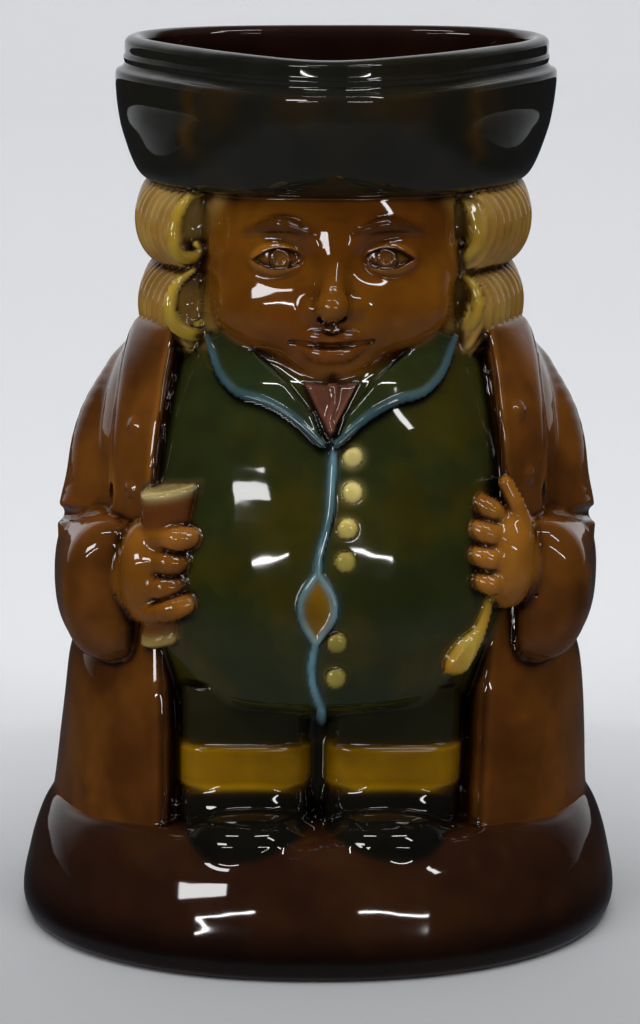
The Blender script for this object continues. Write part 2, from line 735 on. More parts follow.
# %% [markdown]
# ## The wig
# Two fat barrel curls run round each side of the head, one over the other. Each is a squashed
# ring, scored by the comb into strands that fade towards the back, and ends at the front in an open
# scroll of paler glaze. A strand within each scroll has less than no thickness: it has no surface,
# and only lets some pale glaze lie along the hollow.

# %% Wig curls
def barrel(side, row_z, height, reach, start, thickness=4.6):
    """Part of a ring round the head. Its strands are grooves across it, bowed like brackets."""
    def distance(x, y, z):
        turn = np.arctan2(side * x, -y / 0.94)
        out = np.hypot(x, y / 0.94) - (reach - thickness)
        up = (z - row_z) / height
        bow = turn * (reach - thickness) + 3.4 * up**2
        strand = 0.36 * (np.sqrt(np.sin(np.pi * bow / 2.15) ** 2 + 0.06) - 1)
        strand = strand + 0.16 * np.sin(np.pi * bow / 6.45 + 1.0)
        k = np.sqrt((out / thickness) ** 2 + up**2) + 1e-6
        slope = np.sqrt((out / thickness**2) ** 2 + (up / height) ** 2) + 1e-6
        combed = k * (k - 1) / slope - strand * np.clip((2.3 - turn) / 0.7, 0, 1)
        tapered = blend_max(combed, (turn - 2.78) * (reach - thickness), 7.0)
        return blend_max(tapered, (start - turn) * (reach - thickness), 2.0)
    return distance


# Side, middle height, half height, reach and where its front end is, in radians from the front.
# The right pair come first, the upper of each pair before the lower.
CURLS = [
    (-1, 99.4, 7.4, 34.2, 0.86),
    (-1, 84.8, 7.8, 33.4, 0.84),
    (1, 99.4, 7.4, 34.2, 0.80),
    (1, 84.8, 7.8, 33.2, 0.78),
]
for side, row_z, height, reach, start in CURLS:
    low = (8 if side > 0 else -36, -27, row_z - height - 0.7)
    high = (36 if side > 0 else -8, 33, row_z + height + 0.7)
    form("hair", 0.5, low, high, barrel(side, row_z, height, reach, start))


def scroll_depth(x, radius):
    """Scrolls lie on the front end of the curls, a plane that runs back and outwards."""
    return -0.80 * abs(x) - 1.2 - 0.4 * radius


def scroll_form(points, radii):
    """A comma of hair: a limb that starts thin, swells and curls back on itself."""
    return limb_along(thread([[x, scroll_depth(x, r), z, r] for (x, z), r in zip(points, radii)], 5))


# The line of each scroll as [x, z], then the middle of its hollow and the hollow's half sizes.
SCROLLS = [
    ([(-21.8, 105.9), (-24.5, 104.5), (-26.2, 101.6), (-26.7, 98.2), (-26.2, 96.0),
      (-24.7, 94.8), (-23.0, 95.1), (-22.3, 96.2), (-23.0, 96.8)],
     (-23.2, 100.2), (2.1, 4.6)),
    ([(-23.6, 92.6), (-26.2, 90.4), (-27.2, 87.1), (-26.3, 83.8), (-24.0, 82.0),
      (-21.6, 81.5), (-20.7, 82.5), (-21.6, 83.3), (-22.8, 83.2)],
     (-23.8, 87.2), (2.3, 3.8)),
    ([(19.5, 105.7), (21.8, 104.2), (23.7, 101.0), (24.0, 97.5), (23.0, 95.5),
      (21.3, 94.8), (20.2, 95.7), (20.5, 96.5), (21.2, 96.9)],
     (20.9, 100.2), (1.9, 4.5)),
    ([(21.2, 92.1), (23.5, 90.1), (24.5, 86.9), (23.5, 83.7), (21.2, 81.4),
      (19.2, 81.8), (18.7, 83.0), (19.4, 83.6), (20.4, 83.5)],
     (21.4, 87.2), (2.1, 3.8)),
]
SCROLL_RADII = [0.6, 0.9, 1.05, 1.15, 1.15, 1.1, 1.0, 0.85, 0.7]
for points, (hole_x, hole_z), (hole_wide, hole_high) in SCROLLS:
    flat = np.array(points)
    low = (flat[:, 0].min() - 3, -26, flat[:, 1].min() - 3)
    high = (flat[:, 0].max() + 3, -12, flat[:, 1].max() + 3)
    hole = (hole_x, scroll_depth(hole_x, 1), hole_z)
    hole_size = (hole_wide, 2.6, hole_high)
    form("recess", 0.8, low, high,
         lambda x, y, z, hole=hole, size=hole_size: egg(x, y, z, hole, size), carve=True)
    form("scroll", 0.3, low, high, scroll_form(points, SCROLL_RADII))
    strand = [(hole_x, hole_z + 3.6), (1.03 * hole_x, hole_z + 0.6), (1.01 * hole_x, hole_z - 2.4)]
    form("scroll", 0.3, low, high, scroll_form(strand, [-0.5, -0.35, -0.6]))

# %% [markdown]
# ## The hat
# The hat's plan is a circle pulled out to three blunt corners, one of them at the front. Seen from
# the side its turned-up brim bulges, then steps in under a narrow binding at the rim.

# %% Hat
hat_table = smooth([
    [105.6, 31.6, 29.6, 0],
    [106.4, 33.2, 30.9, 0.1],
    [107.8, 34.7, 32.0, 0.25],
    [110.8, 36.4, 33.5, 0.5],
    [115, 37.8, 34.8, 0.8],
    [119.6, 38.4, 35.4, 1],
    [122.6, 38.6, 35.5, 1],
    [123.5, 38.4, 35.3, 1],
    [124.1, 37.4, 34.4, 1],
    [124.8, 37.0, 34.0, 1],
    [125.8, 37.2, 34.2, 1],
    [126.4, 36.95, 33.95, 1],
    [128.2, 37.0, 33.9, 1],
    [129.5, 37.0, 33.9, 1],
], 2000)
HAT_FOOT = 105.6
RIM = 128.1
LIP = 1.8  # half the wall's thickness at the mouth


def hat_reach(turn_x, turn_y, z, inset=0.0):
    """How far the hat reaches in a direction: an oval, pulled by 0.12 times cos 3t, and by a
    little cos 6t that sharpens the corners."""
    half_width, depth, corners = hat_table(z)
    u = turn_x / ((half_width - inset) / (1 + 0.048 * corners))
    v = -turn_y / (depth - inset)
    turn = np.arctan2(u, v)
    pull = 1 + corners * (0.12 * np.cos(3 * turn) + 0.008 * (np.cos(6 * turn) - 1))
    return pull / np.maximum(np.hypot(u, v), 1e-6)


def hat(x, y, z):
    """The part of the point's reach that lies outside the hat at its height."""
    reach = np.maximum(np.hypot(x, y), 1e-3)
    side = reach - hat_reach(x / reach, y / reach, z)
    return blend_max(side, HAT_FOOT - z, 1.4)


form("hat", 0.7, (-41, -41, 104.6), (41, 41, 132), hat)

# %% [markdown]
# ## Collar, neckcloth and the front edge
# The lapels are outlines seen from the front, raised off the cloth. A cord of slate-blue glaze
# follows them and runs down the waistcoat's edge. It parts in one place, where a button strains
# and a mustard shirt shows through.

# %% Lapels and neckcloth
LAPEL = [[1.2, 66.4], [6, 70.4], [11, 72.8], [15.4, 73.8], [18.6, 76.6], [20.6, 81.4], [17, 83.4],
         [7, 75.4], [3, 71]]


def raised(outline, proud, soft=0.7):
    """What lies within proud of the cloth and inside a front-view outline."""
    return lambda x, y, z: blend_max(cloth(x, y, z) - proud, outline_gap(x, z, outline), soft)


both("lapel", 0.5, (-1, -44, 65), (22, -22, 85), raised(LAPEL, 1.7))
form("neckcloth", 0.5, (-6, -44, 66), (6, -26, 76),
     raised([[0, 67], [4.4, 75.4], [-4.4, 75.4]], 0.9))
TIE = on_cloth([[0.3, 74.6], [0.5, 72.4], [-0.2, 70.0], [0.2, 68.4]], 0.7, [1.2, 0.7, 0.6, 0.8])
form("neckcloth", 0.4, (-4, -46, 65), (4, -28, 78), limb_along(thread(TIE, 3)))

# %% Piping
PIPING = 0.66
edge_above = on_cloth([[0.8, 66.2], [0.6, 61], [0.2, 54.5], [-1.2, 48.8], [-1.4, 45.6]], 0.15, PIPING)
edge_below = on_cloth([[-1.5, 33.8], [-2.1, 30], [-1.6, 25.5], [-0.2, 21.4]], 0.15, PIPING)
gap_left = on_cloth([[-1.4, 45.6], [1.1, 41.6], [1.2, 38.0], [-1.5, 33.8]], 0.15, PIPING * 0.9)
gap_right = on_cloth([[-1.4, 45.6], [-3.9, 41.6], [-3.9, 38.0], [-1.5, 33.8]], 0.15, PIPING * 0.9)
lapel_edge = on_cloth(LAPEL[:6], 1.4, PIPING)


def piping(*paths):
    """Thin limbs along the edges."""
    threads = [thread(path, 3) for path in paths]
    return lambda x, y, z: np.min([limb(x, y, z, path) for path in threads], axis=0)


GAP = [[-1.4, 45.2], [0.9, 41.6], [1.0, 38.0], [-1.5, 34.2], [-3.7, 38.0], [-3.7, 41.6]]
form("shirt", 0.3, (-5, -46, 33), (3, -36, 47), raised(GAP, 0.25, 0.3))
form("piping", 0.35, (-6, -48, 19), (4, -34, 68),
     piping(edge_above, edge_below, gap_left, gap_right))
both("lapel_edge", 0.3, (-1, -46, 64), (23, -22, 84), piping(lapel_edge))

# %% Buttons
WAISTCOAT_BUTTONS = [[3.8, 64.1], [3.9, 58.6], [3.2, 52.8], [3, 47.5], [1.9, 34], [1.9, 27.8]]
COAT_BUTTONS = [[31.1, 69.2], [33.0, 58.4], [-32.1, 66.6], [-32.4, 56.0]]


def button(x0, z0, radius=1.7):
    """A low dome on the cloth with a rounded edge: an egg with a flattened front."""
    y0 = float(front_of(x0, z0))
    return lambda x, y, z: blend_max(
        egg(x, y, z, (x0, y0 - 0.1, z0), (radius, 1.6, radius), 2.1), y0 - 1.5 - y, 0.7
    )


for number, (x0, z0) in enumerate(WAISTCOAT_BUTTONS):
    paint = "button" if number < 3 else "dull_button"
    form(paint, 0.25, (x0 - 2.5, -50, z0 - 2.5), (x0 + 2.5, -30, z0 + 2.5),
         button(x0, z0))
for x0, z0 in COAT_BUTTONS:
    half_width, front, _ = (float(v) for v in coat_table(z0))
    y0 = -front * (1 - (abs(x0) / half_width) ** OVAL) ** (1 / OVAL)
    form("coat", 0.5, (x0 - 4, y0 - 4, z0 - 3), (x0 + 4, y0 + 4, z0 + 3),
         lambda x, y, z, x0=x0, y0=y0, z0=z0: egg(x, y, z, (x0, y0 - 0.9, z0), (1.7, 1.8, 1.9)))
print(len(FORMS), "forms")

# %% [markdown]
# ## Casting the rays
# The rays of one row start from a racetrack round the figure and run in towards a short spine
# from its left to its right: straight back over the front, so that they see what a viewer sees,
# and fanned round its ends. Columns are close together at the front, and closest over the face.
# Rows are not level either. They come down a little on their way in, as a viewer's eye does, and
# over the top of the mound they slope like a cone, or the flat top would fall between two rows.
# Each row is given by its height 30 mm from the axis and its height at 60 mm, and both rise from
# row to row, so rows never cross. Fine relief wants a fine grid, so the jug is worked out in four
# bands that share their seams: mound, body, head and hat. A band is a whole ring of pot, outside,
# inside and all.

# %% Columns and rows
def spaced(stops):
    """Positions from [start, step] stops, with the steps evened out between them."""
    values = [np.array([stops[0][0]])]
    for (start, step), (end, _) in zip(stops[:-1], stops[1:]):
        count = max(1, int(round((end - start) / step)))
        values.append(np.linspace(start, end, count + 1)[1:])
    return np.concatenate(values)


along_front = np.linspace(0, 1, 105)[:-1]
fan = spaced([[0, 1.0], [60, 1.6], [110, 3.0], [180, 0]])
along_back = np.linspace(1, 0, 11)[1:]
spine_share = np.concatenate([along_front, np.ones(len(fan)), along_back])
heading = np.radians(np.concatenate([0 * along_front, fan, 180 + 0 * along_back]))
spine_share = np.concatenate([-spine_share[:0:-1], spine_share[:-1]])
heading = np.concatenate([-heading[:0:-1], heading[:-1]])
around = len(heading)
# For each band: height at 30 mm, height at 60 mm, half the spine, how even the columns along it
# are (1 is even, less is closer in the middle) and the rows up to the next stop.
BANDS = {
    "mound": [[-MOUND_HEIGHT, -MOUND_HEIGHT, 27, 1, 30], [-19.3, 5.9, 27, 1, 56], [-2.5, 22.5, 31, 1, 84],
              [19, 31.7, 31, 1, 0]],
    "body": [[19, 31.7, 31, 1, 52], [34, 42, 31, 1, 68], [56, 62.3, 31, 1, 68],
             [76, 82.3, 30, 1, 10], [79, 85.3, 29, 1, 0]],
    "head": [[79, 85.3, 29, 1, 32], [84, 90, 27, 0.62, 146], [105.5, 109, 25, 0.62, 0]],
    "hat": [[105.5, 109, 25, 0.62, 14], [108.5, 111.5, 22, 0.8, 84], [RIM, RIM, 13, 1, 0]],
}


def band_rows(stops):
    """What each row is given by, evenly from stop to stop, both ends included."""
    pairs = [
        np.linspace(a[:4], b[:4], a[4], endpoint=False) for a, b in zip(stops[:-1], stops[1:])
    ]
    return np.vstack([*pairs, stops[-1][:4]]).T


print(around, "columns;", {name: len(band_rows(stops)[0]) for name, stops in BANDS.items()})

# %% Trace
NEAR_ROW = 30  # mm from the axis to where a row's first height is, and from there to its second
START = 64.0  # mm out from the spine
STRIDE = 0.78  # of the distance to the figure, in one step
CLOSE_ENOUGH = 0.004


def trace(inner, outer, spine, even, steps=80):
    """Each ray starts outside and moves in by a share of the distance to the figure, again and
    again, until it is close enough."""
    shape = (len(inner), around)
    share = spine_share[None, :]
    start = (spine[:, None] * (even[:, None] * share + (1 - even[:, None]) * share**3)).ravel()
    side, ahead = (np.broadcast_to(v, shape).ravel() for v in (np.sin(heading), -np.cos(heading)))
    base = np.repeat(inner, around)
    slope = np.repeat((outer - inner) / NEAR_ROW, around)
    length = np.sqrt(1 + slope**2)

    def place(i, reach):
        x, y = start[i] + side[i] * reach, ahead[i] * reach
        return x, y, base[i] + slope[i] * (np.hypot(x, y) - NEAR_ROW)

    reach = np.full(side.shape, START)
    active = np.arange(reach.size)
    for _ in range(steps):
        gap = figure(*place(active, reach[active]))
        reach[active] = np.maximum(reach[active] - STRIDE * gap / length[active], 0.5)
        active = active[np.abs(gap) > CLOSE_ENOUGH]
        if active.size == 0:
            break
    print("rays:", reach.size, "still moving:", active.size)
    return np.stack(place(np.arange(reach.size), reach), axis=-1).reshape(*shape, 3)


def slope_of_figure(points, step=0.16):
    """Unit normals from the field itself: its differences along four corners of a cube, added."""
    corners = np.array([(1, -1, -1), (-1, -1, 1), (-1, 1, -1), (1, 1, 1)], float)
    flat = points.reshape(-1, 3)
    normal = sum(c * figure(*(flat + step * c).T)[:, None] for c in corners)
    return (normal / np.linalg.norm(normal, axis=1, keepdims=True)).reshape(points.shape)


skins = {name: trace(*band_rows(stops)) for name, stops in BANDS.items()}
skin_normals = {name: slope_of_figure(points) for name, points in skins.items()}

# %% [markdown]
# ## Lip, hollow and underside
# The open hat is the jug's mouth, so the skin turns over a rounded lip and goes down inside, where
# it follows the outside a wall's thickness away, smoother than the relief. The underside has a
# shallow recess within its foot ring. These are lofts of rings on the same turns.

# %% Lip and hollow
def ring(turn, reach, z):
    """A closed ring at one height, at a reach given for each turn from the front."""
    return np.stack([np.sin(turn) * reach, -np.cos(turn) * reach, np.full(turn.shape, z)], -1)


def oval_reach(turn, half_width, front, back, power=OVAL):
    """How far an oval reaches in each direction."""
    depth = np.where(np.cos(turn) > 0, front, back)
    return (np.abs(np.sin(turn) / half_width) ** power
            + np.abs(np.cos(turn) / depth) ** power) ** (-1 / power)


def turns_of(points):
    """The turn from the front of each point of a ring."""
    return np.arctan2(points[:, 0], -points[:, 1])


hollow_table = smooth([
    [-16.4, 34, 32, 34],
    [-15.4, 39.5, 36.6, 38.6],
    [-13, 42.4, 38.4, 41.2],
    [-10, 42.8, 36.4, 41.6],
    [-4, 42.6, 28.4, 40.6],
    [7.5, 40.5, 25.8, 38.8],
    [17.5, 39.4, 26, 38.4],
    [27.5, 38.2, 32, 37.6],
    [37.5, 36.8, 37.6, 36.8],
    [47.5, 36.6, 38.0, 35.8],
    [57.5, 36.4, 35.4, 34.6],
    [67.5, 34.8, 32.8, 31.8],
    [72.5, 32.8, 29.8, 29.8],
    [78, 28.6, 26.4, 26.6],
    [83, 24.6, 24.2, 24.4],
    [104.6, 23.4, 24.0, 24.0],
    [106.6, 25.4, 26.2, 25.6],
    [109, 29.4, 28.4, 28.0],
    [129.5, 33.0, 33.0, 30.0],
])


def hollow_ring(turn, z):
    """A ring of the hollow: the hat's own plan at the mouth, and an oval from the table below."""
    share = fade(z, 103, 110)
    mouth = hat_reach(np.sin(turn), -np.cos(turn), max(z, HAT_FOOT), 2 * LIP)
    return ring(turn, mouth * share + oval_reach(turn, *hollow_table(z)) * (1 - share), z)


def lip_ring(turn, a):
    """A ring of the lip, a rounded strip over the top of the wall: a runs from 0 outside to pi."""
    dip = np.exp(-(((turn + 0.05) / 0.3) ** 2)) + 0.5 * np.exp(-(((turn - 1.5) / 0.5) ** 2))
    z = RIM + (1.4 - 0.5 * dip) * np.sin(a)
    return ring(turn, hat_reach(np.sin(turn), -np.cos(turn), z, LIP * (1 - np.cos(a))), z)


lip_turn = np.linspace(0, np.pi, 11)[1:]
HOLLOW_HEIGHTS = {
    "hat": [125.5, 121.5, 117.5, 114, 111.5, 110, 108.8, 107.6, 106.4, 105.5],
    "head": [105.5, 103.5, 98, 92, 87, 83, 80.5, 79],
    "body": [79, 77, 74, 70, 65, 59, 53, 47, 41, 35, 30, 25, 19],
    "mound": [19, 13, 8, 3, -2, -5, -8, -11, -13.6, -15.2, -16.0, -16.4],
}
tops = {name: turns_of(points[-1]) for name, points in skins.items()}
after = {
    name: [hollow_ring(tops[name], z) for z in heights] for name, heights in HOLLOW_HEIGHTS.items()
}
after["hat"] = [lip_ring(tops["hat"], a) for a in lip_turn] + after["hat"]
after["mound"] += [
    ring(tops["mound"], oval_reach(tops["mound"], 34, 32, 34) * share, -16.5 - 0.2 * (1 - share))
    for share in (0.93, 0.7, 0.4, 0.12)
]

# %% Underside
foot_turn = turns_of(skins["mound"][0])
# How far each ring is in from the foot's edge, and how far up.
UNDER_RINGS = ((44, 0.9), (30, 0.9), (14, 0.9), (6.6, 0.9), (5.6, 0.5), (4.6, 0), (1.2, 0))
before = {
    "mound": [
        ring(foot_turn,
             oval_reach(foot_turn, *(half - inset for half in mound_table(-MOUND_HEIGHT))),
             -MOUND_HEIGHT + rise)
        for inset, rise in UNDER_RINGS
    ]
}

# %% [markdown]
# ## Turning rings into a mesh
# Neighbouring rings are joined by four-sided faces. A band's last ring is joined back to its
# first, through the clay, so it closes on itself; the mound instead ends in a middle point under
# the foot and another on the floor inside. The whole cast drifts a little to one side as it
# rises, as the real one does, so the last step leans it. The shading normals are the field's own,
# so light runs over the seams between bands as over one glaze.

# %% Mesh builder
LEAN = 0.022


def to_metres(points):
    """Figure millimetres to the shared frame in metres, leaned sideways by its height."""
    z = points[..., 2] + MOUND_HEIGHT
    return np.stack([points[..., 0] + LEAN * z, points[..., 1], z], -1) / 1000


def grid_normals(rings):
    """Unit normals of a grid: its steps along the turns crossed with its steps along the rows."""
    along = np.roll(rings, -1, axis=1) - np.roll(rings, 1, axis=1)
    normal = np.cross(along, np.gradient(rings, axis=0))
    return normal / np.maximum(np.linalg.norm(normal, axis=-1, keepdims=True), 1e-9)


def closed_skin(name, rings, normals, looped):
    """One closed mesh from rings of points: looped back to the first ring, or with a middle
    point at each end."""
    count, around = rings.shape[:2]
    index = np.arange(count * around).reshape(count, around)
    if looped:
        index = np.vstack([index, index[:1]])
    right = np.roll(index, -1, axis=1)
    faces = np.stack([index[:-1], right[:-1], right[1:], index[1:]], -1).reshape(-1, 4).tolist()
    points, shading = rings.reshape(-1, 3), normals.reshape(-1, 3)
    if not looped:
        middles = np.array([rings[0].mean(0), rings[-1].mean(0)])
        points = np.vstack([points, middles])
        shading = np.vstack([shading, normals[0].mean(0), normals[-1].mean(0)])
        faces += np.stack([np.full(around, count * around), right[0], index[0]], -1).tolist()
        faces += np.stack([np.full(around, count * around + 1), index[-1], right[-1]], -1).tolist()
    mesh = bpy.data.meshes.new(name)
    mesh.from_pydata(to_metres(points).tolist(), [], faces)
    mesh.shade_smooth()
    leaned = shading - [0, 0, LEAN] * shading[:, :1]
    leaned /= np.maximum(np.linalg.norm(leaned, axis=1, keepdims=True), 1e-9)
    mesh.normals_split_custom_set_from_vertices(leaned.tolist())
    print(name, "has", sum(len(face) - 2 for face in faces), "triangles")
    return put(name, mesh)


bands = {}
for name, points in skins.items():
    rings = np.array([*before.get(name, []), *points, *after[name]])
    normals = grid_normals(rings)
    first = len(before.get(name, []))
    normals[first : first + len(points)] = skin_normals[name]
    bands[name] = closed_skin("jug_" + name, rings, normals, looped=name != "mound")

# %% [markdown]
# ## Where each glaze lies
# The painter fills each form with its own glaze up to its edge, and the glazes run a little into
# each other in the kiln. So every point takes the glaze of its nearest form, with a narrow soft
# change between two. Two more numbers are kept for each point: how far glaze has pooled there,
# because it drains into hollows and darkens, and how thin it is on ridges, where the pale clay
# shines through. Both come from the distance field just above and below the skin.

# %% Glaze colours
GLAZES = {
    "mound": ((0.0200, 0.0068, 0.0031), (0.030, 0.0104, 0.0034)),
    "waistcoat": ((0.0180, 0.0225, 0.0050), (0.035, 0.0295, 0.0030)),
    "hair": ((0.390, 0.240, 0.058), (0.290, 0.145, 0.024)),
    "coat": ((0.126, 0.042, 0.0054), (0.072, 0.0225, 0.0037)),
    "breeches": ((0.0115, 0.0108, 0.0036), (0.015, 0.0125, 0.003)),
    "band": ((0.180, 0.086, 0.0006), (0.240, 0.120, 0.0012)),
    "shoe": ((0.0038, 0.0034, 0.0026), (0.006, 0.005, 0.003)),
    "roll": ((0.108, 0.029, 0.0035), (0.130, 0.041, 0.005)),
    "cream": ((0.440, 0.350, 0.140), (0.320, 0.220, 0.055)),
    "purse": ((0.440, 0.310, 0.048), (0.350, 0.165, 0.010)),
    "skin": ((0.168, 0.058, 0.0039), (0.112, 0.033, 0.0022)),
    "hand": ((0.260, 0.100, 0.011), (0.165, 0.056, 0.005)),
    "eye": ((0.220, 0.095, 0.015), (0.180, 0.074, 0.011)),
    "iris": ((0.020, 0.008, 0.002), (0.015, 0.006, 0.002)),
    "brow": ((0.070, 0.023, 0.003), (0.058, 0.018, 0.0025)),
    "lips": ((0.140, 0.041, 0.005), (0.108, 0.030, 0.004)),
    "scroll": ((0.390, 0.265, 0.032), (0.290, 0.160, 0.014)),
    "recess": ((0.026, 0.0085, 0.0012), (0.018, 0.006, 0.001)),
    "hat": ((0.0095, 0.0095, 0.0072), (0.013, 0.011, 0.0055)),
    "lapel": ((0.0155, 0.0245, 0.0080), (0.024, 0.028, 0.0055)),
    "neckcloth": ((0.098, 0.036, 0.021), (0.060, 0.0175, 0.0085)),
    "shirt": ((0.250, 0.125, 0.003), (0.140, 0.060, 0.003)),
    "piping": ((0.070, 0.130, 0.152), (0.038, 0.072, 0.076)),
    "lapel_edge": ((0.022, 0.044, 0.052), (0.034, 0.062, 0.073)),
    "button": ((0.620, 0.510, 0.170), (0.480, 0.375, 0.090)),
    "dull_button": ((0.330, 0.270, 0.052), (0.220, 0.180, 0.036)),
    "shadow": ((0.0040, 0.0036, 0.0020), (0.008, 0.006, 0.002)),
    "inside": ((0.014, 0.0050, 0.0038), (0.019, 0.007, 0.004)),
    "foot": ((0.30, 0.22, 0.15), (0.24, 0.16, 0.10)),
}
NAMES = list(GLAZES)


def glaze_shares(points, spread=0.26):
    """For each point a share of each glaze: exp of minus the extra distance over the spread.
    The wall of a carved hollow is as near to the carving form from inside as from outside."""
    x, y, z = points.reshape(-1, 3).T
    gaps = np.full((x.size, len(NAMES)), 50.0)
    for item in FORMS:
        gap = one_form(item, x, y, z)
        k = NAMES.index(item["glaze"])
        gaps[:, k] = np.minimum(gaps[:, k], np.abs(gap) if item["carve"] else gap)
    shares = np.exp(-(gaps - gaps.min(axis=1, keepdims=True)) / spread)
    return shares / shares.sum(axis=1, keepdims=True)


# %% Pooling and thinning
def lost_height(points, normals, step):
    """How much nearer the figure is, a step above the skin, than the step itself: a share that
    is more the deeper the hollow. With a step below the skin it is more the sharper the ridge."""
    gap = figure(*(points + step * normals).reshape(-1, 3).T)
    return (step - gap) / step


# %% Glaze attributes
def keep_colour(piece, name, values):
    """A colour for each point, kept in the mesh for the material to read."""
    attribute = piece.data.color_attributes.new(name, "FLOAT_COLOR", "POINT")
    attribute.data.foreach_set("color", np.column_stack([values, np.ones(len(values))]).ravel())


def keep_number(piece, name, values):
    """A number for each point."""
    attribute = piece.data.attributes.new(name, "FLOAT", "POINT")
    attribute.data.foreach_set("value", np.asarray(values, np.float32))


def runs_on_hat(points):
    """Amber runs where the hat's glaze slid: narrow bell curves of the turn from the front,
    strongest under the binding and fading downwards."""
    x, y, z = points.reshape(-1, 3).T
    turn = np.arctan2(x, -y) + 0.02 * np.sin(1.1 * z)
    strength = sum(
        height * np.exp(-(((turn - middle) / width) ** 2)) * fade(z, end, end + 7)
        for middle, width, height, end in (
            (-0.86, 0.07, 1.0, 109), (-0.62, 0.16, 0.5, 114), (0.78, 0.06, 1.0, 108),
            (0.30, 0.20, 0.4, 115), (0.95, 0.12, 0.4, 113), (-0.15, 0.12, 0.35, 115),
            (2.1, 0.10, 0.8, 110), (-2.3, 0.12, 0.8, 111), (3.0, 0.15, 0.5, 113),
        )
    )
    return np.clip(strength, 0, 1) * (z < 123.6)


HOLLOW_STEPS = ((0.35, 0.5), (0.35, 1.3), (0.30, 2.6))  # the weight of each, and mm above the skin
RIDGE_STEP = -0.9
AMBER = np.array([0.036, 0.018, 0.003])

for name, points in skins.items():
    normals = skin_normals[name]
    shares = glaze_shares(points)
    hollows = sum(weight * lost_height(points, normals, step) for weight, step in HOLLOW_STEPS)
    if name == "mound":
        hollows = hollows + 0.5 * (1 - fade(points.reshape(-1, 3)[:, 2], -21, -8))
    ridges = lost_height(points, normals, RIDGE_STEP)
    print(name, "hollows", np.percentile(hollows, [50, 90, 98]).round(2),
          "ridges", np.percentile(ridges, [50, 90, 98]).round(2))
    head, tail = len(before.get(name, [])) * around, len(after[name]) * around
    inside_share = np.ones(tail)
    if name == "hat":
        inside_share[: len(lip_turn) * around] = np.repeat(fade(lip_turn, 1.7, 2.9), around)
    for k, label in ((0, "paint"), (1, "second_paint")):
        colour = {key: np.array(pair[k]) for key, pair in GLAZES.items()}
        outside = shares @ np.array([colour[key] for key in NAMES])
        if name == "hat":
            amber = runs_on_hat(points)[:, None]
            of_hat = shares[:, [NAMES.index("hat")]]
            outside = outside + amber * (AMBER - outside) * of_hat
        inside = colour["hat"] + inside_share[:, None] * (colour["inside"] - colour["hat"])
        parts = [np.tile(colour["foot"], (head, 1)), outside, inside]
        if name == "mound":
            parts += [colour["foot"][None, :], colour["inside"][None, :]]
        keep_colour(bands[name], label, np.vstack(parts))
    ends = [0.0, 0.0] if name == "mound" else []
    keep_number(bands[name], "pooled",
                np.concatenate([np.zeros(head), fade(hollows, 0.05, 0.55), np.zeros(tail), ends]))
    keep_number(bands[name], "thinned",
                np.concatenate([np.zeros(head), fade(ridges, 0.10, 0.75), np.zeros(tail), ends]))

# %% [markdown]
# ## The handle
# The handle is a flattened strap pulled from clay. It springs from the back of the wig, bows out,
# comes back in below the shoulders and swells where it is pressed on. It is an oval carried along
# a smooth path: at each point the oval lies across the path, and its size grows towards the ends
# with the sixth power of the distance from the middle.

# %% Handle
HANDLE_WIDTH, HANDLE_THICKNESS = 9.5, 7.5
HANDLE_SIDES = 40
handle_path = thread([
    [0, 25.6, 93.4],
    [0, 40, 97.5],
    [0, 56.75, 90],
    [0, 59.75, 75],
    [0, 57.15, 58],
    [0, 50.75, 45.5],
    [0, 39.2, 39.6],
], 12)
steps = np.linspace(0, 1, len(handle_path))
tangent = np.gradient(handle_path, axis=0)
tangent /= np.linalg.norm(tangent, axis=1, keepdims=True)
across = np.array([1.0, 0, 0])
outwards = np.cross(tangent, across)
flare = 1 + 0.38 * np.abs(2 * steps - 1) ** 6
angle = np.linspace(0, 2 * np.pi, HANDLE_SIDES, endpoint=False)


def squared(v):
    """A sine or cosine drawn out, which turns a circle into a slightly square oval."""
    return (np.sign(v) * np.abs(v) ** (2 / 2.4))[None, :, None]


half_width, half_thickness = (
    (size / 2 * flare)[:, None, None] for size in (HANDLE_WIDTH, HANDLE_THICKNESS)
)
handle_rings = (
    handle_path[:, None, :]
    + half_width * squared(np.cos(angle)) * across
    + half_thickness * squared(np.sin(angle)) * outwards[:, None, :]
)
handle = closed_skin("jug_handle", handle_rings, grid_normals(handle_rings), looped=False)
count = len(handle.data.vertices)
keep_colour(handle, "paint", np.tile(GLAZES["coat"][0], (count, 1)))
keep_colour(handle, "second_paint", np.tile(GLAZES["coat"][1], (count, 1)))
roots = fade(np.abs(2 * np.append(np.repeat(steps, HANDLE_SIDES), [0, 1]) - 1), 0.86, 0.96)
keep_number(handle, "pooled", 0.7 * roots)
keep_number(handle, "thinned", np.zeros(count))

# %% [markdown]
# ## The glaze
# Majolica glaze is coloured glass over pale clay. Light goes in, picks up colour and comes back,
# under a mirror-smooth top. One material serves all the colours: it reads the paint of each point,
# drifts between two shades of it with slow noise, darkens it where it pooled, and lets it go
# paler on thin ridges. A faint wave in the surface keeps the highlights from being too perfect.

# %% Node helpers
def node(tree, kind, inputs, **settings):
    """A node with its settings, whose inputs are set to numbers or joined to sockets."""
    made = tree.nodes.new(kind)
    for key, value in settings.items():
        setattr(made, key, value)
    fill(tree, made, inputs)
    return made


def fill(tree, made, inputs):
    """Sets or joins the named inputs of a node."""
    for key, value in inputs.items():
        if isinstance(value, bpy.types.NodeSocket):
            tree.links.new(value, made.inputs[key])
        else:
            made.inputs[key].default_value = value


def where(tree, kind="Object"):
    """The place of the point being shaded."""
    return node(tree, "ShaderNodeTexCoord", {}).outputs[kind]


